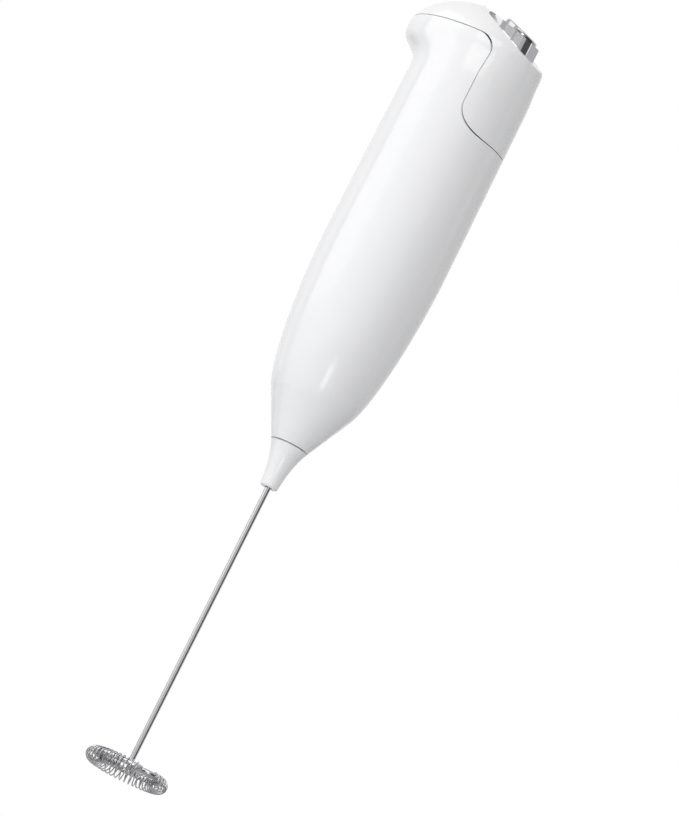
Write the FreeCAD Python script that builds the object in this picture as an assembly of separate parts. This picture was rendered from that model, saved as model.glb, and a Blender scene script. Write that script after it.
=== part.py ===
import FreeCAD, Part
import math
import os

# Battery milk frother: a plastic handle with a motor and two AA cells, a lift-off cap that carries
# the push button, and a wire whisk that the motor spins.
# Millimetres. The handle's axis is Z, with the cap at the top and the whisk hanging below.
# The origin is the middle of the hand grip. The button's slope faces +X and the thumb lip faces -X.
# Every "_h" value is a height above the tip of the nose cone, which up() turns into a Z value.

# Overall sizes
grip_height = 88.0          # nose tip to the middle of the grip
body_r = 17.4               # widest radius of the handle
head_r = 17.0               # radius where the handle meets the head
wall = 1.8                  # thickness of the plastic shells
nose_h = 12.3               # top of the nose cone
belly_h = 72.0              # where the handle reaches its widest radius
neck_h = 120.5              # where the thumb lip starts to flare
lip_h = 131.5               # widest level of the thumb lip
lip_reach = 24.1            # how far the lip stands out towards -X
dome_rise = 13.0            # height of the dome above the lip
slope_h = 141.9             # height of the sloped face on the axis
slope_angle = 28.2          # fall of the sloped face towards +X, degrees

# Parting line between handle and cap
seam_gap = 0.25
shelf_h = 134.0             # level of the parting line under the dome
shelf_corner_r = 4.5
tongue_x = 10.1             # plane of the tongue's two upright edges
tongue_h = 107.5            # lowest point of the tongue
tongue_corner_r = 7.0

# Straight taper above the nose
shoulder_h = 25.7
shoulder_r = 11.9

# Nose cone
nose_tip_r = 2.5
nose_top_r = 5.25
nose_gap = 0.35             # shadow gap between the nose cone and the handle
spigot_r = 4.0
spigot_l = 4.0
nose_bore_r = 1.9
bushing_r = 1.7
bushing_l = 3.2

# Whisk
wire_r = 0.8
whisk_h = -84.4             # level of the middle of the coil
hoop_r = 9.7
hoop_end_gap = 8.0          # degrees left open between the hoop's end and its leg
leg_bend_r = 2.2
leg_angle = -27.0           # direction of the wire's radial leg, degrees
coil_r = 2.0                # radius of one turn, at the middle of its wire
coil_wire_r = 0.18
coil_turns = 43
coil_start = 20.0           # degrees past the leg
coil_sweep = 329.0          # degrees covered by all the turns
coil_hang = 0.9             # the loose coil hangs this far below its hoop

# Motor, coupling and their fits
motor_r = 10.1
motor_flat = 7.6            # half the distance across the can's two flats
motor_h = 28.5              # front face of the can
can_l = 24.0
can_wall = 0.8
bell_l = 2.5
boss_r = 3.1
boss_l = 1.6
shaft_r = 1.0
bearing_r = 2.4
armature_r = 6.0
magnet_gap = 0.35
commutator_r = 2.5
coupling_r = 2.4
coupling_l = 12.2
sleeve_wall = 0.85
running_fit = 0.06          # radial clearance of a turning shaft
seat_fit = 0.02             # radial clearance of a pressed piece
slide_fit = 0.3             # clearance of pieces that slide past each other

# Cells and the chassis that holds them
cell_r = 7.25
cell_l = 49.5
nub_r = 2.75
nub_l = 1.0
cell_gap = 0.5              # gap between the two cells
plate_h = 58.6              # underside of the chassis plate
plate_t = 1.8
contact_rise = 3.0          # chassis plate to the underside of a cell
cell_fit = 0.15             # cell to the chassis that cradles it
neck_fit = 0.25             # chassis to the neck of the handle, which it passes on its way in
cradle_wall = 1.3
screw_r = 1.1
screw_head_r = 2.0
screw_l = 7.0
post_r = 2.3

# Cap skirt and the contact board inside the cap
skirt_t = 1.2
skirt_h = 126.5             # lowest level of the collar
gasket_fit = 0.08           # rubber band on the skirt to the handle's wall
skirt_bond = 0.6            # overlap of the collar with the cap's wall
collar_h = 130.5            # top of the collar beside the button
rail_h = 114.8              # lowest level of the rails
rail_x = 6.5
board_t = 1.2
board_rise = 1.5            # cell's nub to the underside of the board
column_r = 1.5              # columns of the board, which carry the switch holder
column_x = -1.0
column_y = 3.6
touch_gap = 0.3             # room between a contact leaf and its cell

# Push button, which moves square to the sloped face: distances down the slope start at the axis
button_at = 6.9
button_r = 5.3
button_rise = 3.47          # sloped face to the middle of the button's top
button_tilt = 6.7           # the top is this much flatter than the slope, degrees
button_travel = 1.5
button_edge_r = 0.5
button_fit = 0.08
flange_step = 0.9           # how far the flange under the bezel stands out from the button
button_flange_t = 1.0
ridge_pitch = 1.15
ridge_depth = 0.25

# Bezel round the button: its walls stand upright, and its top rises towards the low end
bezel_t = 1.2
bezel_fit = 0.12
bezel_wall = 0.6            # wall round the button at the low end
crescent_step = 1.68        # extra radius of the crescent at the high end
crescent_back = 3.57        # how far the crescent's centre lies behind the button's
crescent_rise = 1.35
crescent_tilt = 11.5
lug_w = 4.26
bezel_screw_r = 1.0
bezel_screw_head_r = 1.6
bezel_screw_skin = 0.5      # plastic left above the tip of a bezel screw
dimple_r = 0.8

# Switch under the button
stem_r = 1.5
stem_l = 10.4
stem_seat = 1.2             # how far the stem goes up into the button
switch_w = 9.0
switch_l = 7.0
switch_depth = 8.6          # sloped face to the top of the switch
spring_r = 2.9
spring_wire_r = 0.26
spring_turns = 4
holder_t = 1.2
ear_t = 1.2
ear_post = 3.2              # bezel to the ears' underside

# Places that follow from the sizes above
cell_y = cell_r + cell_gap / 2
cell_low = plate_h + plate_t + contact_rise
cell_high = cell_low + cell_l
board_h = cell_high + nub_l + board_rise
chassis_r = head_r - wall - neck_fit
post_x = chassis_r - post_r - 0.05
bezel_low = -wall - bezel_t
crescent_r = button_r + bezel_wall + crescent_step
bezel_screw_y = crescent_r + bezel_screw_r + 0.5
button_low = bezel_low - 0.15

Vec = FreeCAD.Vector
Z_AXIS = Vec(0, 0, 1)
FAR = 60.0                  # larger than anything in the head


def up(height):
    return height - grip_height


def cylinder(radius, low, high, x=0.0, y=0.0):
    return Part.makeCylinder(radius, high - low, Vec(x, y, low))


def tube(outer, inner, low, high, x=0.0, y=0.0):
    return cylinder(outer, low, high, x, y).cut(cylinder(inner, low - 1, high + 1, x, y))


def block(x0, x1, y0, y1, z0, z1):
    return Part.makeBox(x1 - x0, y1 - y0, z1 - z0, Vec(x0, y0, z0))


def bezier(points):
    curve = Part.BezierCurve()
    curve.setPoles([Vec(r, 0, z) for r, z in points])
    return curve.toShape()


def line(r0, z0, r1, z1):
    return Part.makeLine(Vec(r0, 0, z0), Vec(r1, 0, z1))


def turned(edges):
    """Solid of revolution about Z from the closed outline of edges in the XZ plane."""
    return Part.Face(Part.Wire(edges)).revolve(Vec(0, 0, 0), Z_AXIS, 360)


def fused(shapes):
    return shapes[0].multiFuse(shapes[1:]).removeSplitter() if len(shapes) > 1 else shapes[0]


# ------------------------------------------------------------------ outer form of handle and head

taper = math.atan2(shoulder_r - nose_top_r, shoulder_h - nose_h)


def barrel(inset):
    """The handle below the head, shrunk by inset."""
    low = up(nose_h) + nose_gap
    start = nose_top_r + nose_gap * math.tan(taper) - inset
    reach = 6.0
    poles = [(shoulder_r - inset, up(shoulder_h)),
             (shoulder_r - inset + reach * math.sin(taper), up(shoulder_h) + reach * math.cos(taper)),
             (body_r - inset, up(0.36 * shoulder_h + 0.64 * belly_h) - 5.0),
             (body_r - inset, up(belly_h))]
    return turned([line(0, low, start, low),
                   line(start, low, *poles[0]),
                   bezier(poles),
                   line(*poles[-1], head_r - inset, up(neck_h)),
                   line(head_r - inset, up(neck_h), 0, up(neck_h)),
                   line(0, up(neck_h), 0, low)])


def egg(t, inset):
    """Level ring of the flaring head: t runs from 0 at the neck to 1 at the lip."""
    flare = (lip_reach - head_r) / 2 * (1 - (1 - t ** 3) ** 4)
    level = up(neck_h + t * (lip_h - neck_h))
    if flare < 0.001:
        return Part.Wire(Part.makeCircle(head_r - inset, Vec(0, 0, level)))
    ring = Part.Ellipse(Vec(-flare, 0, level), head_r + flare - inset, head_r - inset)
    return Part.Wire(ring.toShape())


def dome(inset):
    flare = (lip_reach - head_r) / 2
    shape = Part.makeSphere(1.0, Vec(0, 0, 0), Z_AXIS, 0, 90, 360)
    matrix = FreeCAD.Matrix()
    matrix.scale(head_r + flare - inset, head_r - inset, dome_rise - inset)
    matrix.move(Vec(-flare, 0, up(lip_h)))
    return shape.transformGeometry(matrix)


def slope_frame():
    turn = FreeCAD.Rotation(Vec(0, 1, 0), slope_angle)
    return FreeCAD.Placement(Vec(0, 0, up(slope_h)), turn)


def on_slope(shape):
    """Moves a piece from the slope's own axes: X down the slope, Z out of the sloped face."""
    moved = shape.copy()
    moved.Placement = slope_frame().multiply(moved.Placement)
    return moved


def head(inset):
    steps = (0.0, 0.15, 0.3, 0.42, 0.52, 0.62, 0.72, 0.82, 0.92, 1.0)
    flared = Part.makeLoft([egg(t, inset) for t in steps], True, False)
    above = on_slope(block(-FAR, FAR, -FAR, FAR, -inset, FAR))
    return flared.fuse(dome(inset)).cut(above)


def off_slope(shape):
    """Brings a piece of the whole part into the slope's own axes."""
    moved = shape.copy()
    moved.Placement = slope_frame().inverse().multiply(moved.Placement)
    return moved


def whole_form(inset):
    return barrel(inset).fuse(head(inset))


def seam_region(shift):
    """Everything on the cap's side of the parting line, grown by shift."""
    shelf = up(shelf_h) - shift
    edge = tongue_x - shift
    foot = up(tongue_h) - shift
    upper_r = shelf_corner_r + shift
    lower_r = tongue_corner_r
    corner = math.sqrt(0.5)
    start = Vec(-FAR, 0, shelf)
    a = Vec(edge - upper_r, 0, shelf)
    b = Vec(edge - upper_r * (1 - corner), 0, shelf - upper_r * (1 - corner))
    c = Vec(edge, 0, shelf - upper_r)
    d = Vec(edge, 0, foot + lower_r)
    e = Vec(edge + lower_r * (1 - corner), 0, foot + lower_r * (1 - corner))
    f = Vec(edge + lower_r, 0, foot)
    g = Vec(FAR, 0, foot)
    h = Vec(FAR, 0, FAR * 2)
    i = Vec(-FAR, 0, FAR * 2)
    edges = [Part.makeLine(start, a), Part.Arc(a, b, c).toShape(), Part.makeLine(c, d),
             Part.Arc(d, e, f).toShape(), Part.makeLine(f, g), Part.makeLine(g, h),
             Part.makeLine(h, i), Part.makeLine(i, start)]
    face = Part.Face(Part.Wire(edges))
    face.translate(Vec(0, -FAR, 0))
    return face.extrude(Vec(0, 2 * FAR, 0))


# ------------------------------------------------------------------ handle and nose

def screw_posts():
    posts = []
    for side in (-1, 1):
        low = up(plate_h) - screw_l - 1.5
        rib = block(min(0, side * FAR), max(0, side * FAR), -0.8, 0.8, low, up(plate_h))
        rib = rib.cut(cylinder(post_x, low - 1, up(plate_h) + 1))
        post = cylinder(post_r, low, up(plate_h), side * post_x).fuse(rib)
        hole = cylinder(screw_r + seat_fit, up(plate_h) - screw_l, up(plate_h) + 1, side * post_x)
        posts.append(post.cut(hole))
    return posts


def handle_shell():
    cavity = whole_form(wall)
    socket = cylinder(spigot_r + seat_fit, up(nose_h), up(nose_h) + spigot_l + 1)
    shell = whole_form(0).cut(cavity).cut(socket)
    posts = [post.common(whole_form(wall / 2)) for post in screw_posts()]
    shell = fused([shell] + posts)
    return shell.cut(seam_region(seam_gap / 2))


def nose_cone():
    top = up(nose_h)
    tip = up(0)
    skin = bezier([(nose_tip_r, tip + 0.3), (nose_tip_r * 1.16, tip + 0.4 * nose_h),
                   (nose_top_r * 0.68, tip + 0.7 * nose_h), (nose_top_r, top)])
    body = turned([line(0, tip, nose_tip_r - 0.3, tip),
                   line(nose_tip_r - 0.3, tip, nose_tip_r, tip + 0.3),
                   skin,
                   line(nose_top_r, top, 0, top),
                   line(0, top, 0, tip)])
    spigot = cylinder(spigot_r, top, top + nose_gap + spigot_l)
    body = body.fuse(spigot)
    bore = cylinder(nose_bore_r, tip + bushing_l + 0.8, top + 1)
    seat = cylinder(bushing_r + seat_fit, tip + 0.8, tip + 1 + bushing_l)
    mouth = cylinder(wire_r + slide_fit, tip - 1, tip + 1)
    pocket = cylinder(coupling_r + 0.6, top, top + nose_gap + spigot_l + 1)
    return body.cut(bore).cut(seat).cut(mouth).cut(pocket).removeSplitter()


def shaft_bushing():
    low = up(0) + 0.8
    return tube(bushing_r, wire_r + running_fit, low, low + bushing_l)


def nose_seal():
    low = up(0) + 0.8 + bushing_l
    return tube(nose_bore_r - seat_fit, wire_r + running_fit, low + 0.1, low + 1.3)


# ------------------------------------------------------------------ motor

def motor_outline(inset, low, high):
    half = motor_flat - inset
    return cylinder(motor_r - inset, low, high).common(block(-half, half, -FAR, FAR, low, high))


def motor_can():
    low = up(motor_h)
    can = motor_outline(0, low, low + can_l)
    can = can.cut(motor_outline(can_wall, low + can_wall, low + can_l + 1))
    can = can.fuse(cylinder(boss_r, low - boss_l, low))
    return can.cut(cylinder(bearing_r + seat_fit, low - boss_l - 1, low + can_wall + 1)).removeSplitter()


def motor_end_bell():
    low = up(motor_h) + can_l
    bell = motor_outline(0.1, low, low + bell_l)
    plug = motor_outline(can_wall + seat_fit, low - 1.2, low).cut(cylinder(armature_r, low - 2, low + 1))
    return bell.fuse(plug).cut(cylinder(bearing_r + seat_fit, low - 1, low + bell_l + 1)).removeSplitter()


def front_bearing():
    low = up(motor_h) - boss_l
    return tube(bearing_r, shaft_r + running_fit, low, low + boss_l + can_wall)


def rear_bearing():
    low = up(motor_h) + can_l
    return tube(bearing_r, shaft_r + running_fit, low, low + bell_l)


def motor_magnets():
    low = up(motor_h) + can_wall + 2.5
    ring = tube(motor_r - can_wall - seat_fit, armature_r + magnet_gap, low, low + 15)
    half = motor_flat - can_wall - 1.6
    sides = [block(-half, half, side * FAR / 2 - FAR / 2, side * FAR / 2 + FAR / 2, low, low + 15)
             for side in (-1, 1)]
    return Part.makeCompound([ring.common(side) for side in sides])


def motor_brushes():
    level = up(motor_h) + can_l - 3.4
    reach = commutator_r + running_fit
    brushes = []
    for side in (-1, 1):
        carbon = block(reach, reach + 1.4, -1.0, 1.0, level - 0.9, level + 0.9)
        leaf = block(reach + 1.4, reach + 1.7, -1.0, 1.0, level - 0.9, up(motor_h) + can_l)
        brush = carbon.fuse(leaf)
        brush.rotate(Vec(0, 0, 0), Z_AXIS, 0 if side > 0 else 180)
        brushes.append(brush)
    return Part.makeCompound(brushes)


def motor_terminals():
    low = up(motor_h) + can_l + bell_l
    tabs = [block(-1.2, 1.2, side * 7.0 - 0.2, side * 7.0 + 0.2, low, up(plate_h) - 0.3) for side in (-1, 1)]
    return Part.makeCompound(tabs)


def motor_sleeve():
    low = up(motor_h) + 1.5
    high = up(motor_h) + 19.5
    return motor_outline(-sleeve_wall, low, high).cut(motor_outline(-seat_fit, low - 1, high + 1))


def armature_core():
    low = up(motor_h) + can_wall + 3.5
    high = low + 12.5
    core = cylinder(armature_r, low, high).cut(cylinder(shaft_r + seat_fit, low - 1, high + 1))
    for pole in range(3):
        slot = block(2.6, armature_r - 1.4, -2.6, -0.9, low - 1, high + 1)
        mouth = block(armature_r - 2, armature_r + 1, -1.5, -0.9, low - 1, high + 1)
        cutter = slot.fuse(mouth)
        cutter.rotate(Vec(0, 0, 0), Z_AXIS, 120 * pole)
        core = core.cut(cutter)
    return core


def armature_windings():
    low = up(motor_h) + can_wall + 3.5
    ends = []
    for start in (low - 1.7, low + 12.5):
        ends.append(tube(armature_r - 1.0, 1.6, start, start + 1.7))
    for index in range(3):
        bar = block(2.7, armature_r - 1.5, -2.5, -1.0, low - 0.2, low + 12.7)
        bar.rotate(Vec(0, 0, 0), Z_AXIS, 120 * index)
        ends.append(bar)
    return fused(ends)


def commutator():
    low = up(motor_h) + can_l - 5.4
    ring = tube(commutator_r, shaft_r + seat_fit, low, low + 4.0)
    for gap in range(3):
        slit = block(commutator_r - 0.6, commutator_r + 1, -0.15, 0.15, low - 1, low + 3.0)
        slit.rotate(Vec(0, 0, 0), Z_AXIS, 120 * gap + 60)
        ring = ring.cut(slit)
    return ring


def motor_shaft():
    low = up(motor_h) - boss_l - 4.6
    return cylinder(shaft_r, low, up(motor_h) + can_l + bell_l + 0.8)


def shaft_coupling():
    high = up(motor_h) - boss_l - 0.4
    low = high - coupling_l
    middle = high - 5.0
    body = cylinder(coupling_r, low, high)
    body = body.cut(cylinder(shaft_r + seat_fit, middle, high + 1))
    return body.cut(cylinder(wire_r + seat_fit, low - 1, middle - 0.6))


# ------------------------------------------------------------------ whisk

def whisk_wire():
    """One length of wire: straight shaft, radial leg and hoop, joined by bends."""
    top = up(motor_h) - boss_l - 0.4 - 6.2
    level = up(whisk_h) + coil_hang
    bend = leg_bend_r
    corner = math.sqrt(0.5)
    inner = hoop_r - bend
    turn_x = math.sqrt(inner * inner - bend * bend)
    join = math.asin(bend / inner)
    last = math.radians(360 - hoop_end_gap)
    middle = (join + last) / 2

    def on_hoop(angle):
        return Vec(hoop_r * math.cos(angle), hoop_r * math.sin(angle), level)

    swing = (join - math.pi / 2) / 2
    edges = [Part.makeLine(Vec(0, 0, top), Vec(0, 0, level + bend)),
             Part.Arc(Vec(0, 0, level + bend),
                      Vec(bend * (1 - corner), 0, level + bend * (1 - corner)),
                      Vec(bend, 0, level)).toShape(),
             Part.makeLine(Vec(bend, 0, level), Vec(turn_x, 0, level)),
             Part.Arc(Vec(turn_x, 0, level),
                      Vec(turn_x + bend * math.cos(swing), bend + bend * math.sin(swing), level),
                      on_hoop(join)).toShape(),
             Part.Arc(on_hoop(join), on_hoop(middle), on_hoop(last)).toShape()]
    section = Part.Wire(Part.makeCircle(wire_r, Vec(0, 0, top), Z_AXIS))
    wire = Part.Wire(edges).makePipeShell([section], True, False)
    wire.rotate(Vec(0, 0, 0), Z_AXIS, leg_angle)
    return wire


def sewn_coil(point, wire, turns, advance):
    """Round wire along point(turn): the first turn is lofted, and its copies are sewn end to end."""
    per_turn = 12

    def ring(turn):
        place, heading = point(turn)
        return Part.Wire(Part.makeCircle(wire, place, heading))

    skin = Part.makeLoft([ring(step / per_turn) for step in range(per_turn + 1)], False, False)
    faces = [Part.Face(ring(0)), advance(Part.Face(ring(0)), turns)]
    for index in range(turns):
        faces.extend(advance(skin.copy(), index).Faces)
    shell = Part.Shell(faces)
    shell.sewShape()
    return Part.Solid(shell)


def whisk_coil():
    """A close spring bent round the hoop."""
    spin = math.radians(coil_sweep) / coil_turns

    def point(turn):
        around = spin * turn
        own = 2 * math.pi * turn
        reach = hoop_r + coil_r * math.cos(own)
        inward = -2 * math.pi * coil_r * math.sin(own)
        place = Vec(reach * math.cos(around), reach * math.sin(around), up(whisk_h) + coil_r * math.sin(own))
        heading = Vec(inward * math.cos(around) - reach * spin * math.sin(around),
                      inward * math.sin(around) + reach * spin * math.cos(around),
                      2 * math.pi * coil_r * math.cos(own))
        return place, heading

    def advance(shape, turns):
        shape.rotate(Vec(0, 0, 0), Z_AXIS, math.degrees(spin) * turns)
        return shape

    coil = sewn_coil(point, coil_wire_r, coil_turns, advance)
    coil.rotate(Vec(0, 0, 0), Z_AXIS, leg_angle + coil_start)
    return coil


# ------------------------------------------------------------------ chassis, cells and contacts

def inner_chassis():
    low = up(plate_h)
    plate = cylinder(chassis_r, low, low + plate_t)
    collar_low = up(motor_h) + 20.5
    collar = motor_outline(-1.4, collar_low, low).cut(motor_outline(-0.2, collar_low - 1, low + 1))
    rim = tube(chassis_r, chassis_r - cradle_wall, low, up(cell_high) - 4)
    rim = rim.common(block(-FAR, 2.0, -FAR, FAR, low, up(cell_high)))
    web = block(-chassis_r + cradle_wall / 2, -2.5, -1.0, 1.0, low, up(cell_high) - 4)
    body = fused([plate, collar, rim, web])
    for side in (-1, 1):
        pocket = cylinder(cell_r + cell_fit, low + plate_t, up(cell_high) + 1, 0, side * cell_y)
        hole = cylinder(screw_r + slide_fit, low - 1, low + plate_t + 1, side * post_x)
        head_room = cylinder(screw_head_r + slide_fit, low + plate_t, up(cell_high), side * post_x)
        body = body.cut(pocket).cut(hole).cut(head_room)
    return body.removeSplitter()


def battery_cell(side, nub_up):
    low = up(cell_low)
    body = cylinder(cell_r, low, low + cell_l, 0, side * cell_y)
    rims = [edge for edge in body.Edges if edge.Curve.TypeId == "Part::GeomCircle"]
    body = body.makeFillet(0.6, rims)
    if nub_up:
        nub = cylinder(nub_r, low + cell_l - 0.5, low + cell_l + nub_l, 0, side * cell_y)
    else:
        nub = cylinder(nub_r, low - nub_l, low + 0.5, 0, side * cell_y)
    return body.fuse(nub).removeSplitter()


def coil_spring(radius, wire, low, high, turns):
    """Round-wire helical spring that stands on low and ends at high."""
    pitch = (high - low - 2 * wire) / turns

    def point(turn):
        own = 2 * math.pi * turn
        place = Vec(radius * math.cos(own), radius * math.sin(own), low + wire + pitch * turn)
        return place, Vec(-2 * math.pi * radius * math.sin(own), 2 * math.pi * radius * math.cos(own), pitch)

    def advance(shape, turns):
        shape.translate(Vec(0, 0, pitch * turns))
        return shape

    return sewn_coil(point, wire, turns, advance)


def spring_contact():
    low = up(plate_h) + plate_t
    spring = coil_spring(3.0, 0.3, low + 0.3, up(cell_low), 3)
    foot = cylinder(4.2, low, low + 0.4)
    spring.translate(Vec(0, cell_y, 0))
    foot.translate(Vec(0, cell_y, 0))
    return spring.fuse(foot)


def flat_contact():
    low = up(plate_h) + plate_t
    high = up(cell_low) - nub_l
    pad = cylinder(4.5, high - 0.5, high, 0, -cell_y)
    stand = cylinder(1.6, low, high - 0.4, 0, -cell_y)
    return pad.fuse(stand).removeSplitter()


def chassis_screws():
    screws = []
    for side in (-1, 1):
        top = up(plate_h) + plate_t
        shank = cylinder(screw_r, up(plate_h) - screw_l + 0.5, top, side * post_x)
        screw = shank.fuse(cylinder(screw_head_r, top, top + 1.3, side * post_x))
        slot = block(side * post_x - 1.4, side * post_x + 1.4, -0.25, 0.25, top + 0.6, top + 2)
        screws.append(screw.cut(slot).removeSplitter())
    return Part.makeCompound(screws)


# ------------------------------------------------------------------ button, bezel and switch
# Drawn in the slope's own axes, then moved by on_slope().

def bezel_outline(clearance):
    """Upright walls of the bezel, grown by clearance, in the slope's own axes."""
    angle = math.radians(slope_angle)
    middle = button_at * math.cos(angle) + button_rise * math.sin(angle)
    rim_r = button_r + bezel_wall + clearance
    half = lug_w / 2 + clearance
    low = up(lip_h) - 20
    rim = cylinder(rim_r, low, FAR, middle)
    crescent = cylinder(crescent_r + clearance, low, FAR, middle - crescent_back)
    lug = block(middle, middle + rim_r, -half, half, low, FAR)
    return off_slope(fused([rim, crescent, lug])).common(block(-FAR, FAR, -FAR, FAR, bezel_low, FAR))


def above_plane(at, rise, tilt):
    """Everything above a plane that rises down the slope by tilt degrees."""
    above = block(-FAR, FAR, -FAR, FAR, 0, FAR)
    above.rotate(Vec(0, 0, 0), Vec(0, 1, 0), -tilt)
    above.translate(Vec(at, 0, rise))
    return above


def skirt_zones():
    """Boxes that hold the collar and the two rails which the cap slides into the handle with."""
    low = up(skirt_h)
    collar_back = block(-FAR, 0, -FAR, FAR, low, up(shelf_h) + skirt_bond)
    collar_front = block(0, FAR, -FAR, FAR, low, up(collar_h))
    rails = block(rail_x, FAR, -FAR, FAR, up(rail_h), low)
    return fused([collar_back, collar_front, rails])


def mouth_prism(clearance):
    """Upright prism of the handle's mouth less clearance: whatever leaves with the cap stays inside it."""
    rise = dome_rise - wall
    narrowing = math.sqrt(1 - ((shelf_h - lip_h) / rise) ** 2)
    flare = (lip_reach - head_r) / 2
    mouth = Part.Ellipse(Vec(-flare, 0, up(rail_h) - 1),
                         (head_r + flare - wall) * narrowing - clearance,
                         (head_r - wall) * narrowing - clearance)
    return Part.Face(Part.Wire(mouth.toShape())).extrude(Vec(0, 0, FAR))


def cap_shell():
    zone = seam_region(-seam_gap / 2)
    zones = skirt_zones()
    thick = wall + slide_fit + skirt_t
    skirt = whole_form(wall + slide_fit).common(mouth_prism(slide_fit)).cut(zone).common(zones)
    shell = whole_form(0).common(zone).fuse(skirt)
    shell = shell.cut(whole_form(wall).cut(zones))
    shell = shell.cut(whole_form(thick))
    shell = shell.cut(on_slope(bezel_outline(bezel_fit)))
    angle = math.radians(slope_angle)
    lug_end = button_at + button_rise * math.tan(angle) + (button_r + bezel_wall) / math.cos(angle)
    dimple = Part.makeSphere(dimple_r, Vec(lug_end + dimple_r * 0.7, lug_w / 3, dimple_r / 3))
    shell = shell.cut(on_slope(dimple))
    for side in (-1, 1):
        hole = cylinder(bezel_screw_r + seat_fit, -wall - 1, -bezel_screw_skin, button_at, side * bezel_screw_y)
        shell = shell.cut(on_slope(hole))
    return shell.removeSplitter()


def bezel():
    half = bezel_screw_y + bezel_screw_head_r
    high_end = button_at - crescent_back - crescent_r - 1
    low_end = button_at + crescent_r + 2
    plate = block(high_end, low_end, -half, half, bezel_low, -wall)
    plate = plate.common(off_slope(whole_form(wall + bezel_fit)))
    walls = bezel_outline(0).cut(above_plane(button_at - crescent_back, crescent_rise, crescent_tilt))
    body = plate.fuse(walls).cut(cylinder(button_r + button_fit, bezel_low - 1, 10, button_at))
    for side in (-1, 1):
        body = body.cut(cylinder(bezel_screw_r + 0.1, bezel_low - 1, 1, button_at, side * bezel_screw_y))
    return on_slope(body.removeSplitter())


def button_cap():
    disc = cylinder(button_r, button_low, button_rise + 5, button_at)
    disc = disc.cut(above_plane(button_at, button_rise, button_tilt))
    top = [edge for edge in disc.Edges if edge.BoundBox.ZMin > 0 and len(edge.Vertexes) == 1]
    disc = disc.makeFillet(button_edge_r, top)
    lean = math.radians(button_tilt)
    rings = int((button_r - 1.2) / ridge_pitch)
    for ring in range(1, rings + 1):
        groove = Part.makeTorus(ring * ridge_pitch, ridge_depth, Vec(button_at, 0, button_rise),
                                Vec(-math.sin(lean), 0, math.cos(lean)))
        disc = disc.cut(groove)
    flange = cylinder(button_r + flange_step, button_low - button_flange_t, button_low, button_at)
    socket = cylinder(stem_r + seat_fit, button_low - 2, button_low + stem_seat, button_at)
    return on_slope(disc.fuse(flange).cut(socket).removeSplitter())


def switch_plunger():
    top = button_low + stem_seat
    return on_slope(cylinder(stem_r, top - stem_l, top, button_at))


def button_spring():
    high = button_low - button_flange_t
    spring = coil_spring(spring_r, spring_wire_r, -switch_depth, high, spring_turns)
    spring.translate(Vec(button_at, 0, 0))
    return on_slope(spring)


def switch_body():
    half = switch_w / 2
    body = block(button_at - half, button_at + half, -half, half, -switch_depth - switch_l, -switch_depth)
    body = body.makeFillet(0.6, [edge for edge in body.Edges if edge.Length < switch_l + 0.1])
    bore_low = button_low + stem_seat - stem_l - button_travel - slide_fit
    bore = cylinder(stem_r + running_fit, bore_low, 0, button_at)
    return on_slope(body.cut(bore))


def switch_terminals():
    low = -switch_depth - switch_l
    pins = [block(button_at + side * 2.5 - 0.3, button_at + side * 2.5 + 0.3, -0.8, 0.8, low - 3.0, low)
            for side in (-1, 1)]
    return on_slope(Part.makeCompound(pins))


def switch_holder():
    """Tray under the switch, hung from two ears that are screwed up against the bezel."""
    half = switch_w / 2
    inner = half + 0.05
    ear_end = bezel_screw_y + bezel_screw_head_r
    low = -switch_depth - switch_l
    ear_low = bezel_low - ear_post
    floor = block(button_at - half, button_at + half, -inner - holder_t, inner + holder_t, low - holder_t, low)
    parts = [floor]
    for side in (-1, 1):
        cheek = block(button_at - 3, button_at + 3, inner, inner + holder_t, low - holder_t, ear_low)
        ear = block(button_at - 2.2, button_at + 2.2, inner, ear_end, ear_low - ear_t, ear_low)
        foot = block(button_at - 2.2, button_at + 2.2, button_r + flange_step + 0.4, ear_end, ear_low, bezel_low)
        arm = cheek.fuse(ear).fuse(foot)
        arm.rotate(Vec(button_at, 0, 0), Z_AXIS, 0 if side > 0 else 180)
        parts.append(arm)
    body = fused(parts)
    window = block(button_at - 3.2, button_at + 3.2, -1.4, 1.4, low - holder_t - 1, low + 0.1)
    body = body.cut(window)
    for side in (-1, 1):
        hole = cylinder(bezel_screw_r + 0.1, ear_low - ear_t - 1, 0, button_at, side * bezel_screw_y)
        body = body.cut(hole)
    return on_slope(body.removeSplitter())


def bezel_screws():
    screws = []
    seat = bezel_low - ear_post - ear_t
    for side in (-1, 1):
        shank = cylinder(bezel_screw_r, seat, -bezel_screw_skin - 0.1, button_at, side * bezel_screw_y)
        screw_head = cylinder(bezel_screw_head_r, seat - 1.0, seat, button_at, side * bezel_screw_y)
        screws.append(shank.fuse(screw_head).removeSplitter())
    return on_slope(Part.makeCompound(screws))


def contact_board():
    reach = head_r - wall - slide_fit - skirt_t - 0.1
    board = cylinder(reach, up(board_h), up(board_h) + board_t)
    above = on_slope(block(-FAR, FAR, -FAR, FAR, -switch_depth - switch_l - holder_t, FAR))
    columns = [cylinder(column_r, up(board_h) + board_t, up(lip_h), column_x, side * column_y).cut(above)
               for side in (-1, 1)]
    return fused([board] + columns)


def contact_leaves():
    high = up(board_h)
    tall = cylinder(3.6, up(cell_high) + touch_gap, high, 0, -cell_y)
    short = cylinder(3.6, up(cell_high) + nub_l + touch_gap, high, 0, cell_y)
    return Part.makeCompound([tall, short])


def cap_gasket():
    level = up(skirt_h) + 3.0
    outside = whole_form(wall + gasket_fit).common(mouth_prism(gasket_fit))
    inside = slide_fit - 0.06
    band = outside.cut(whole_form(wall + inside).common(mouth_prism(inside)))
    return band.common(block(-FAR, tongue_x - 5, -FAR, FAR, level, level + 1.6))


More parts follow.
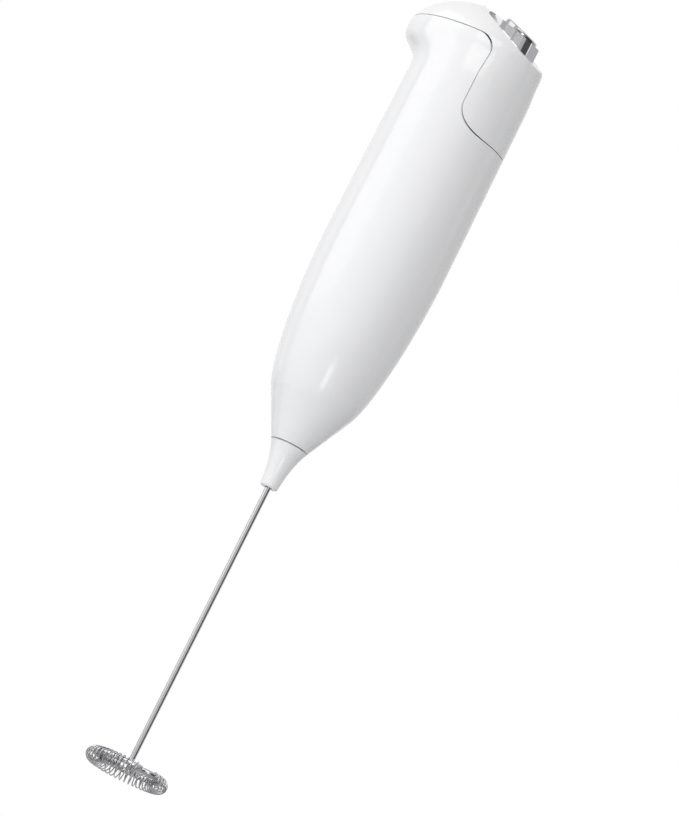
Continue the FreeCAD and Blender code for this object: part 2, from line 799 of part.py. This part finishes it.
PIECES = {
    "handle_shell": handle_shell,
    "nose_cone": nose_cone,
    "shaft_bushing": shaft_bushing,
    "nose_seal": nose_seal,
    "motor_can": motor_can,
    "motor_end_bell": motor_end_bell,
    "motor_front_bearing": front_bearing,
    "motor_rear_bearing": rear_bearing,
    "motor_magnets": motor_magnets,
    "motor_brushes": motor_brushes,
    "motor_terminals": motor_terminals,
    "motor_sleeve": motor_sleeve,
    "armature_core": armature_core,
    "armature_windings": armature_windings,
    "commutator": commutator,
    "motor_shaft": motor_shaft,
    "shaft_coupling": shaft_coupling,
    "whisk_wire": whisk_wire,
    "whisk_coil": whisk_coil,
    "inner_chassis": inner_chassis,
    "battery_cell_1": lambda: battery_cell(1, True),
    "battery_cell_2": lambda: battery_cell(-1, False),
    "spring_contact": spring_contact,
    "flat_contact": flat_contact,
    "chassis_screws": chassis_screws,
    "cap_shell": cap_shell,
    "cap_gasket": cap_gasket,
    "button_bezel": bezel,
    "button_cap": button_cap,
    "switch_plunger": switch_plunger,
    "button_spring": button_spring,
    "switch_body": switch_body,
    "switch_terminals": switch_terminals,
    "switch_holder": switch_holder,
    "bezel_screws": bezel_screws,
    "contact_board": contact_board,
    "contact_leaves": contact_leaves,
}

os.makedirs("parts", exist_ok=True)
for name, make in PIECES.items():
    shape = make()
    print(f"{name:20s} solids {len(shape.Solids)} volume {shape.Volume:9.1f} valid {shape.isValid()}")
    shape.exportStep(f"parts/{name}.step")
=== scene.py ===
import bpy
from math import cos, pi, radians, sin, tan
from mathutils import Matrix, Vector


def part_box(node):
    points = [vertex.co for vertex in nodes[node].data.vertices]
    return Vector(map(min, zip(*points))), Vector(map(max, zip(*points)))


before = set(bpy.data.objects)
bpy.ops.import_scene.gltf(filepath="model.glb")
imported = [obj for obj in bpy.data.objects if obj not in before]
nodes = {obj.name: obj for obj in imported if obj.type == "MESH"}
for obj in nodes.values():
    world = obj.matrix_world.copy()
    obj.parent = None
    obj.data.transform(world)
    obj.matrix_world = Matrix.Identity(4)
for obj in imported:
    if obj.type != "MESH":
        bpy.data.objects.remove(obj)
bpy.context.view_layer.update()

# ---------------------------------------------------------------- camera
# The frother is seen from its front right and from a little below, leaning over to the right.
# A long lens keeps the handle's sides nearly parallel, and the head just touches the picture's top edge.

view_azimuth = radians(35)
view_elevation = radians(-10.5)
view_distance = 1.8
lean = radians(26.6)
grip_centre = Vector((0.0, 0.0, 0.0))
nose_low, nose_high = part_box("nose_cone")

right = Vector((cos(view_azimuth), sin(view_azimuth), 0.0))
towards_camera = Vector((sin(view_azimuth) * cos(view_elevation),
                         -cos(view_azimuth) * cos(view_elevation),
                         sin(view_elevation)))
upward = towards_camera.cross(right)
aim = Vector((0.0, 0.0, nose_low.z + 0.0279)) + right * 0.00746

camera_data = bpy.data.cameras.new("camera")
camera_data.sensor_width = 36.0
camera_data.lens = 297.8
camera_data.clip_end = 20.0
camera = bpy.data.objects.new("camera", camera_data)
bpy.context.scene.collection.objects.link(camera)
side_axis = right * cos(lean) + upward * sin(lean)
up_axis = upward * cos(lean) - right * sin(lean)
camera.matrix_world = Matrix.Translation(aim + towards_camera * view_distance) @ Matrix(
    (side_axis, up_axis, towards_camera)).transposed().to_4x4()
bpy.context.scene.camera = camera
bpy.context.scene.view_settings.view_transform = "Standard"


# ---------------------------------------------------------------- studio
# A white sweep: a pale matt floor well under the object, a white surround behind it,
# and soft lamps from the left, which leave the handle's right side in light grey.

def linear(hex_colour):
    """sRGB hex to the linear values a shader socket takes."""
    parts = [int(hex_colour[i:i + 2], 16) / 255 for i in (1, 3, 5)]
    return [c / 12.92 if c <= 0.04045 else ((c + 0.055) / 1.055) ** 2.4 for c in parts] + [1.0]


def add(tree, kind, settings=None, links=None, **values):
    """Adds one shader node: settings are its properties, values its sockets, links what feeds them."""
    node = tree.nodes.new(kind)
    for name, value in (settings or {}).items():
        setattr(node, name, value)
    for name, value in values.items():
        node.inputs[name.replace("_", " ")].default_value = value
    for name, source in (links or {}).items():
        tree.links.new(source, node.inputs[name])
    return node


world = bpy.data.worlds.new("white_surround")
world.use_nodes = True
bpy.context.scene.world = world
tree = world.node_tree
tree.nodes.clear()
rays = add(tree, "ShaderNodeLightPath")
seen = add(tree, "ShaderNodeMath", {"operation": "MAXIMUM"},
           {0: rays.outputs["Is Camera Ray"], 1: rays.outputs["Is Glossy Ray"]})
seen = add(tree, "ShaderNodeMath", {"operation": "MAXIMUM"},
           {0: seen.outputs[0], 1: rays.outputs["Is Transmission Ray"]})
fill = add(tree, "ShaderNodeBackground", Color=linear("#F6F6F7"), Strength=0.5)
white = add(tree, "ShaderNodeBackground", Color=linear("#FFFFFF"), Strength=1.0)
mix = add(tree, "ShaderNodeMixShader", None,
          {0: seen.outputs[0], 1: fill.outputs[0], 2: white.outputs[0]})
add(tree, "ShaderNodeOutputWorld", None, {"Surface": mix.outputs[0]})

floor_drop = 0.45
floor_half = 4.0
floor_mesh = bpy.data.meshes.new("floor")
floor_mesh.from_pydata([(-floor_half, -floor_half, 0), (floor_half, -floor_half, 0),
                        (floor_half, floor_half, 0), (-floor_half, floor_half, 0)], [], [(0, 1, 2, 3)])
floor = bpy.data.objects.new("floor", floor_mesh)
floor.location = (0, 0, -floor_drop)
bpy.context.scene.collection.objects.link(floor)
floor_paint = bpy.data.materials.new("matt_white_paint")
floor_paint.use_nodes = True
tree = floor_paint.node_tree
tree.nodes.clear()
grain = add(tree, "ShaderNodeTexNoise", Scale=40.0, Detail=2.0)
tint = add(tree, "ShaderNodeMix", {"data_type": "RGBA"}, {"Factor": grain.outputs["Fac"]})
tint.inputs[6].default_value = linear("#F2F3F4")
tint.inputs[7].default_value = linear("#F6F7F8")
paint = add(tree, "ShaderNodeBsdfPrincipled", None, {"Base Color": tint.outputs[2]}, Roughness=0.8)
add(tree, "ShaderNodeOutputMaterial", None, {"Surface": paint.outputs[0]})
floor_mesh.materials.append(floor_paint)


def grey_card(name, azimuth, elevation, distance, width, height, shade):
    """A painted card that faces the grip and puts a darker band into gloss and metal."""
    mesh = bpy.data.meshes.new(name)
    x, y = width / 2, height / 2
    mesh.from_pydata([(-x, -y, 0), (x, -y, 0), (x, y, 0), (-x, y, 0)], [], [(0, 1, 2, 3)])
    card = bpy.data.objects.new(name, mesh)
    turn = view_azimuth + radians(azimuth)
    lift = radians(elevation)
    out = Vector((sin(turn) * cos(lift), -cos(turn) * cos(lift), sin(lift)))
    card.location = grip_centre + out * distance
    card.rotation_euler = out.to_track_quat("Z", "Y").to_euler()
    bpy.context.scene.collection.objects.link(card)
    paint = bpy.data.materials.new(name + "_paint")
    paint.use_nodes = True
    tree = paint.node_tree
    tree.nodes.clear()
    fibre = add(tree, "ShaderNodeTexNoise", Scale=60.0, Detail=2.0)
    tone = add(tree, "ShaderNodeMix", {"data_type": "RGBA"}, {"Factor": fibre.outputs["Fac"]})
    tone.inputs[6].default_value = linear(shade)
    tone.inputs[7].default_value = linear("#808081")
    board = add(tree, "ShaderNodeBsdfPrincipled", None, {"Base Color": tone.outputs[2]}, Roughness=0.9)
    add(tree, "ShaderNodeOutputMaterial", None, {"Surface": board.outputs[0]})
    mesh.materials.append(paint)


grey_card("right_card", 62, 0, 0.6, 0.7, 0.8, "#757576")
grey_card("back_left_card", -106, -6, 0.6, 0.13, 0.8, "#303031")


def softbox(name, azimuth, elevation, distance, width, height, power):
    """A rectangular lamp aimed at the grip; azimuth is turned to the right of the camera, in degrees."""
    data = bpy.data.lights.new(name, "AREA")
    data.shape = "RECTANGLE"
    data.size = width
    data.size_y = height
    data.energy = power
    lamp = bpy.data.objects.new(name, data)
    turn = view_azimuth + radians(azimuth)
    lift = radians(elevation)
    out = Vector((sin(turn) * cos(lift), -cos(turn) * cos(lift), sin(lift)))
    lamp.location = grip_centre + out * distance
    lamp.rotation_euler = out.to_track_quat("Z", "Y").to_euler()
    bpy.context.scene.collection.objects.link(lamp)
    return lamp


softbox("key_left", -80, 28, 1.4, 1.4, 1.4, 7.8)
softbox("front_fill", -8, 30, 1.8, 1.2, 0.8, 9.0)
softbox("low_card", 7, -21, 0.85, 0.16, 0.22, 0.6)


# ---------------------------------------------------------------- casing: handle, nose cone and cap
# Three thin shells of white ABS, injection moulded in polished tools: the deep gloss carries long
# soft reflections, over the very shallow waviness that moulded walls always have.

def material(name):
    made = bpy.data.materials.new(name)
    made.use_nodes = True
    made.node_tree.nodes.clear()
    return made, made.node_tree


def finish_material(made, tree, surface):
    add(tree, "ShaderNodeOutputMaterial", None, {"Surface": surface.outputs[0]})
    return made


def wear(node_name, made):
    mesh = nodes[node_name].data
    mesh.materials.clear()
    mesh.materials.append(made)


def gloss_white_abs():
    made, tree = material("gloss_moulded_abs")
    place = add(tree, "ShaderNodeTexCoord")
    # sink waviness is about 9 mm from crest to crest, and the polish varies over about 4 mm
    wave = add(tree, "ShaderNodeTexNoise", None, {"Vector": place.outputs["Object"]}, Scale=110.0, Detail=1.0)
    polish = add(tree, "ShaderNodeTexNoise", None, {"Vector": place.outputs["Object"]}, Scale=250.0, Detail=3.0)
    rough = add(tree, "ShaderNodeMapRange", None, {"Value": polish.outputs["Fac"]}, To_Min=0.11, To_Max=0.17)
    colour = add(tree, "ShaderNodeMix", {"data_type": "RGBA"}, {"Factor": polish.outputs["Fac"]})
    colour.inputs[6].default_value = linear("#F6F6F7")
    colour.inputs[7].default_value = linear("#F9F9F9")
    bump = add(tree, "ShaderNodeBump", None, {"Height": wave.outputs["Fac"]}, Strength=0.06, Distance=0.0004)
    surface = add(tree, "ShaderNodeBsdfPrincipled", None,
                  {"Base Color": colour.outputs[2], "Roughness": rough.outputs[0], "Normal": bump.outputs[0]},
                  IOR=1.53, Specular_IOR_Level=0.32)
    return finish_material(made, tree, surface)


casing_finish = gloss_white_abs()
for shell in ("handle_shell", "nose_cone", "cap_shell"):
    wear(shell, casing_finish)


# ---------------------------------------------------------------- button and bezel
# ABS again, but plated with bright chrome. The button's top carries spun ridges round its centre,
# and the plating is a little hazed where fingers rub it.

def grained_metal(name, colour, low_rough, high_rough, stretch, scratch=0.0):
    """Metal whose roughness follows a grain; stretch is the grain's count per metre along X, Y and Z."""
    made, tree = material(name)
    place = add(tree, "ShaderNodeTexCoord")
    lines = add(tree, "ShaderNodeMapping", None, {"Vector": place.outputs["Object"]}, Scale=stretch)
    grain = add(tree, "ShaderNodeTexNoise", None, {"Vector": lines.outputs[0]}, Scale=1.0, Detail=3.0)
    rough = add(tree, "ShaderNodeMapRange", None, {"Value": grain.outputs["Fac"]},
                To_Min=low_rough, To_Max=high_rough)
    bump = add(tree, "ShaderNodeBump", None, {"Height": grain.outputs["Fac"]},
               Strength=scratch, Distance=0.00005)
    surface = add(tree, "ShaderNodeBsdfPrincipled", None,
                  {"Roughness": rough.outputs[0], "Normal": bump.outputs[0]},
                  Base_Color=linear(colour), Metallic=1.0)
    return finish_material(made, tree, surface)


chrome = grained_metal("bright_chrome_plate", "#A6A6A8", 0.07, 0.15, (900.0, 900.0, 900.0))
for piece in ("button_bezel", "button_cap"):
    wear(piece, chrome)


# ---------------------------------------------------------------- whisk
# Stainless spring wire: a 1.6 mm shaft bent into a leg and hoop, with a close coil of thin wire
# threaded round the hoop. Drawing leaves fine lines along the wire.

stainless = grained_metal("drawn_stainless_wire", "#B0B0B2", 0.12, 0.22, (4000.0, 4000.0, 60.0), 0.1)
for piece in ("whisk_wire", "whisk_coil", "button_spring"):
    wear(piece, stainless)


# ---------------------------------------------------------------- nose bearing and motor bearings
# Sintered bronze bushings, pressed from powder: dull, open-pored and dark with oil.

def sintered(name, dark, light, scale):
    """Pressed powder with pores; scale is the number of pores across a metre."""
    made, tree = material(name)
    place = add(tree, "ShaderNodeTexCoord")
    pores = add(tree, "ShaderNodeTexVoronoi", None, {"Vector": place.outputs["Object"]}, Scale=scale)
    colour = add(tree, "ShaderNodeMix", {"data_type": "RGBA"}, {"Factor": pores.outputs["Distance"]})
    colour.inputs[6].default_value = linear(dark)
    colour.inputs[7].default_value = linear(light)
    bump = add(tree, "ShaderNodeBump", None, {"Height": pores.outputs["Distance"]},
               Strength=0.3, Distance=0.00008)
    surface = add(tree, "ShaderNodeBsdfPrincipled", None,
                  {"Base Color": colour.outputs[2], "Normal": bump.outputs[0]}, Roughness=0.55, Metallic=0.8)
    return finish_material(made, tree, surface)


# pores are about 0.15 mm apart in bronze
bronze = sintered("oiled_sintered_bronze", "#7A5A33", "#B08A55", 6500.0)
for piece in ("shaft_bushing", "motor_front_bearing", "motor_rear_bearing"):
    wear(piece, bronze)


# ---------------------------------------------------------------- seal, sleeve and gasket
# Black nitrile rubber, moulded: matt, faintly dusted with the talc that frees it from its tool.

def moulded(name, dark, light, low_rough, high_rough, scale, relief):
    """Moulded polymer with a fine eroded tool texture; scale is its count per metre."""
    made, tree = material(name)
    place = add(tree, "ShaderNodeTexCoord")
    erosion = add(tree, "ShaderNodeTexNoise", None, {"Vector": place.outputs["Object"]}, Scale=scale, Detail=4.0)
    colour = add(tree, "ShaderNodeMix", {"data_type": "RGBA"}, {"Factor": erosion.outputs["Fac"]})
    colour.inputs[6].default_value = linear(dark)
    colour.inputs[7].default_value = linear(light)
    rough = add(tree, "ShaderNodeMapRange", None, {"Value": erosion.outputs["Fac"]},
                To_Min=low_rough, To_Max=high_rough)
    bump = add(tree, "ShaderNodeBump", None, {"Height": erosion.outputs["Fac"]}, Strength=relief, Distance=0.00005)
    surface = add(tree, "ShaderNodeBsdfPrincipled", None,
                  {"Base Color": colour.outputs[2], "Roughness": rough.outputs[0], "Normal": bump.outputs[0]})
    return finish_material(made, tree, surface)


# talc flecks are about half a millimetre across
rubber = moulded("talc_dusted_black_nitrile", "#161617", "#2A2A2B", 0.6, 0.8, 2000.0, 0.2)
for piece in ("nose_seal", "motor_sleeve", "cap_gasket"):
    wear(piece, rubber)


# ---------------------------------------------------------------- motor
# A small brushed motor: a drawn, zinc-plated can closed by a black end bell, with ferrite magnets
# and a wound three-pole armature whose copper commutator runs between carbon brushes.

# drawing lines run along the can's height, about 0.3 mm apart
zinc = grained_metal("bright_zinc_plate", "#A9ACB0", 0.22, 0.4, (3000.0, 3000.0, 250.0), 0.15)
for piece in ("motor_can", "motor_shaft", "chassis_screws", "bezel_screws"):
    wear(piece, zinc)

# stampings are 0.5 mm thick and stacked along the shaft
laminations = grained_metal("stacked_silicon_steel", "#8C8F93", 0.3, 0.5, (300.0, 300.0, 2000.0), 0.4)
wear("armature_core", laminations)

black_abs = moulded("eroded_black_abs", "#1A1A1C", "#232325", 0.42, 0.55, 3000.0, 0.15)
for piece in ("motor_end_bell", "switch_body"):
    wear(piece, black_abs)

# grains of ferrite and of carbon show at about 0.1 mm
ferrite = sintered("ground_ferrite", "#202124", "#34363A", 9000.0)
wear("motor_magnets", ferrite)
carbon = sintered("pressed_carbon", "#151515", "#2A2A2A", 10000.0)
wear("motor_brushes", carbon)


def wound_copper():
    made, tree = material("enamelled_copper_wire")
    place = add(tree, "ShaderNodeTexCoord")
    # the wire is 0.3 mm thick, laid side by side
    strands = add(tree, "ShaderNodeTexWave", {"bands_direction": "Z"}, {"Vector": place.outputs["Object"]},
                  Scale=1050.0, Distortion=1.5, Detail=1.0)
    # painted shade and highlight: the copper is coloured darker in the grooves between turns and lighter on the
    # crowns of the wire, following the same bands as the bump
    colour = add(tree, "ShaderNodeMix", {"data_type": "RGBA"}, {"Factor": strands.outputs["Fac"]})
    colour.inputs[6].default_value = linear("#7E3A16")
    colour.inputs[7].default_value = linear("#C0662F")
    bump = add(tree, "ShaderNodeBump", None, {"Height": strands.outputs["Fac"]}, Strength=0.6, Distance=0.0001)
    surface = add(tree, "ShaderNodeBsdfPrincipled", None,
                  {"Base Color": colour.outputs[2], "Normal": bump.outputs[0]},
                  Roughness=0.3, Metallic=0.7, Coat_Weight=0.5)
    return finish_material(made, tree, surface)


wear("armature_windings", wound_copper())
wear("commutator", grained_metal("turned_copper", "#B8703F", 0.2, 0.35, (300.0, 300.0, 5000.0), 0.2))


# ---------------------------------------------------------------- contacts and terminals
# Nickel-plated brass strip and wire, blanked and bent: pale gold-grey with a soft rolled sheen.

nickel = grained_metal("nickel_plated_brass", "#B9AF93", 0.2, 0.35, (2500.0, 300.0, 300.0), 0.1)
for piece in ("motor_terminals", "spring_contact", "flat_contact", "contact_leaves", "switch_terminals"):
    wear(piece, nickel)


# ---------------------------------------------------------------- coupling, chassis and switch holder
# Natural grey nylon mouldings: a little waxy, with the faint mottle of glass-filled resin.

nylon = moulded("grey_filled_nylon", "#84878B", "#92959A", 0.4, 0.55, 1500.0, 0.1)
for piece in ("shaft_coupling", "inner_chassis", "switch_plunger", "switch_holder"):
    wear(piece, nylon)


# ---------------------------------------------------------------- cells
# Two AA cells in plain dark shrink sleeve, with bare nickel-plated steel at both ends.

def shrink_sleeve(name, low_z, high_z):
    made, tree = material(name)
    place = add(tree, "ShaderNodeTexCoord")
    height = add(tree, "ShaderNodeSeparateXYZ", None, {"Vector": place.outputs["Object"]})
    over = add(tree, "ShaderNodeMath", {"operation": "GREATER_THAN"}, {0: height.outputs["Z"]})
    over.inputs[1].default_value = high_z
    under = add(tree, "ShaderNodeMath", {"operation": "LESS_THAN"}, {0: height.outputs["Z"]})
    under.inputs[1].default_value = low_z
    bare = add(tree, "ShaderNodeMath", {"operation": "MAXIMUM"}, {0: over.outputs[0], 1: under.outputs[0]})
    # shrinking puckers the film every 2 mm or so
    pucker = add(tree, "ShaderNodeTexNoise", None, {"Vector": place.outputs["Object"]}, Scale=500.0, Detail=2.0)
    film = add(tree, "ShaderNodeMix", {"data_type": "RGBA"}, {"Factor": pucker.outputs["Fac"]})
    film.inputs[6].default_value = linear("#2F343B")
    film.inputs[7].default_value = linear("#3A4048")
    colour = add(tree, "ShaderNodeMix", {"data_type": "RGBA"}, {"Factor": bare.outputs[0], 6: film.outputs[2]})
    colour.inputs[7].default_value = linear("#B4B6B8")
    bump = add(tree, "ShaderNodeBump", None, {"Height": pucker.outputs["Fac"]}, Strength=0.1, Distance=0.0001)
    surface = add(tree, "ShaderNodeBsdfPrincipled", None,
                  {"Base Color": colour.outputs[2], "Metallic": bare.outputs[0], "Normal": bump.outputs[0]},
                  Roughness=0.28)
    return finish_material(made, tree, surface)


for cell in ("battery_cell_1", "battery_cell_2"):
    low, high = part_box(cell)
    wear(cell, shrink_sleeve("plain_shrink_sleeve_" + cell[-1], low.z + 0.0016, high.z - 0.0016))


# ---------------------------------------------------------------- contact board
# Glass-epoxy laminate: translucent green resin over a plain weave of glass at about 0.5 mm.

def laminate():
    made, tree = material("glass_epoxy_laminate")
    place = add(tree, "ShaderNodeTexCoord")
    warp = add(tree, "ShaderNodeTexWave", {"bands_direction": "X"}, {"Vector": place.outputs["Object"]}, Scale=630.0)
    weft = add(tree, "ShaderNodeTexWave", {"bands_direction": "Y"}, {"Vector": place.outputs["Object"]}, Scale=630.0)
    weave = add(tree, "ShaderNodeMath", {"operation": "MULTIPLY"}, {0: warp.outputs["Fac"], 1: weft.outputs["Fac"]})
    colour = add(tree, "ShaderNodeMix", {"data_type": "RGBA"}, {"Factor": weave.outputs[0]})
    colour.inputs[6].default_value = linear("#1E4A33")
    colour.inputs[7].default_value = linear("#2C6446")
    surface = add(tree, "ShaderNodeBsdfPrincipled", None, {"Base Color": colour.outputs[2]}, Roughness=0.35)
    return finish_material(made, tree, surface)


wear("contact_board", laminate())
